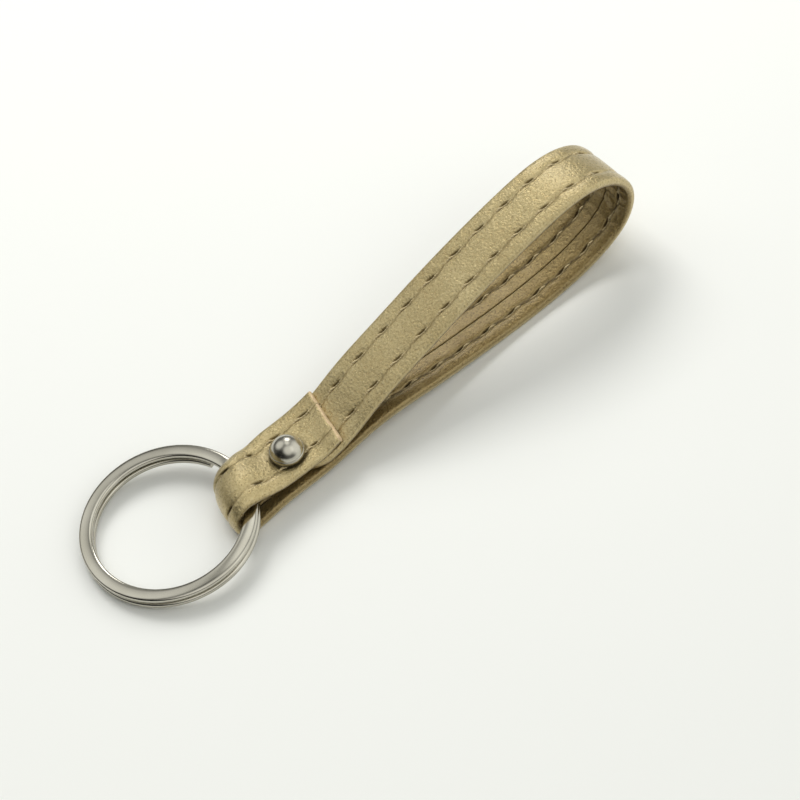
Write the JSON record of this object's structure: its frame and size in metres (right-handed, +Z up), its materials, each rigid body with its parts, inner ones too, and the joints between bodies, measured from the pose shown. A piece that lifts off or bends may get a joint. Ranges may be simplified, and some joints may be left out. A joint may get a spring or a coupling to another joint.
{
  "type": "leather keychain",
  "caption": "Stitched leather strap folded into a hand loop, held by a domed rivet, with a split ring that swings in the strap's fold.",
  "frame": {"origin": "middle of the footprint, on the surface that the keychain lies on", "axes": "+X runs from the split ring to the tip of the hand loop, +Y runs across the strap, +Z is up from the surface"},
  "size_m": [0.1186, 0.032, 0.0229],
  "materials": {
    "cover_leather": "fine pebbled, metallic champagne",
    "core_board": "raw beige bonded board",
    "thread": "twisted polyester, tone on tone",
    "nickel": "polished nickel plate"
  },
  "bodies": {
    "strap": {"strap_cover": "cover_leather", "strap_core": "core_board", "needle_thread_left": "thread", "needle_thread_right": "thread", "bobbin_thread_left": "thread", "bobbin_thread_right": "thread", "rivet_cap": "nickel", "rivet_post": "nickel"},
    "ring": {"split_ring": "nickel"}
  },
  "joints": [
    {"name": "ring_swing", "type": "hinge", "parent": "strap", "child": "ring", "pos_m": [-0.03011, -0.00439, 0.00427], "axis": [0.3173, 0.9483, 0], "range_deg": [-130, 150]}
  ]
}
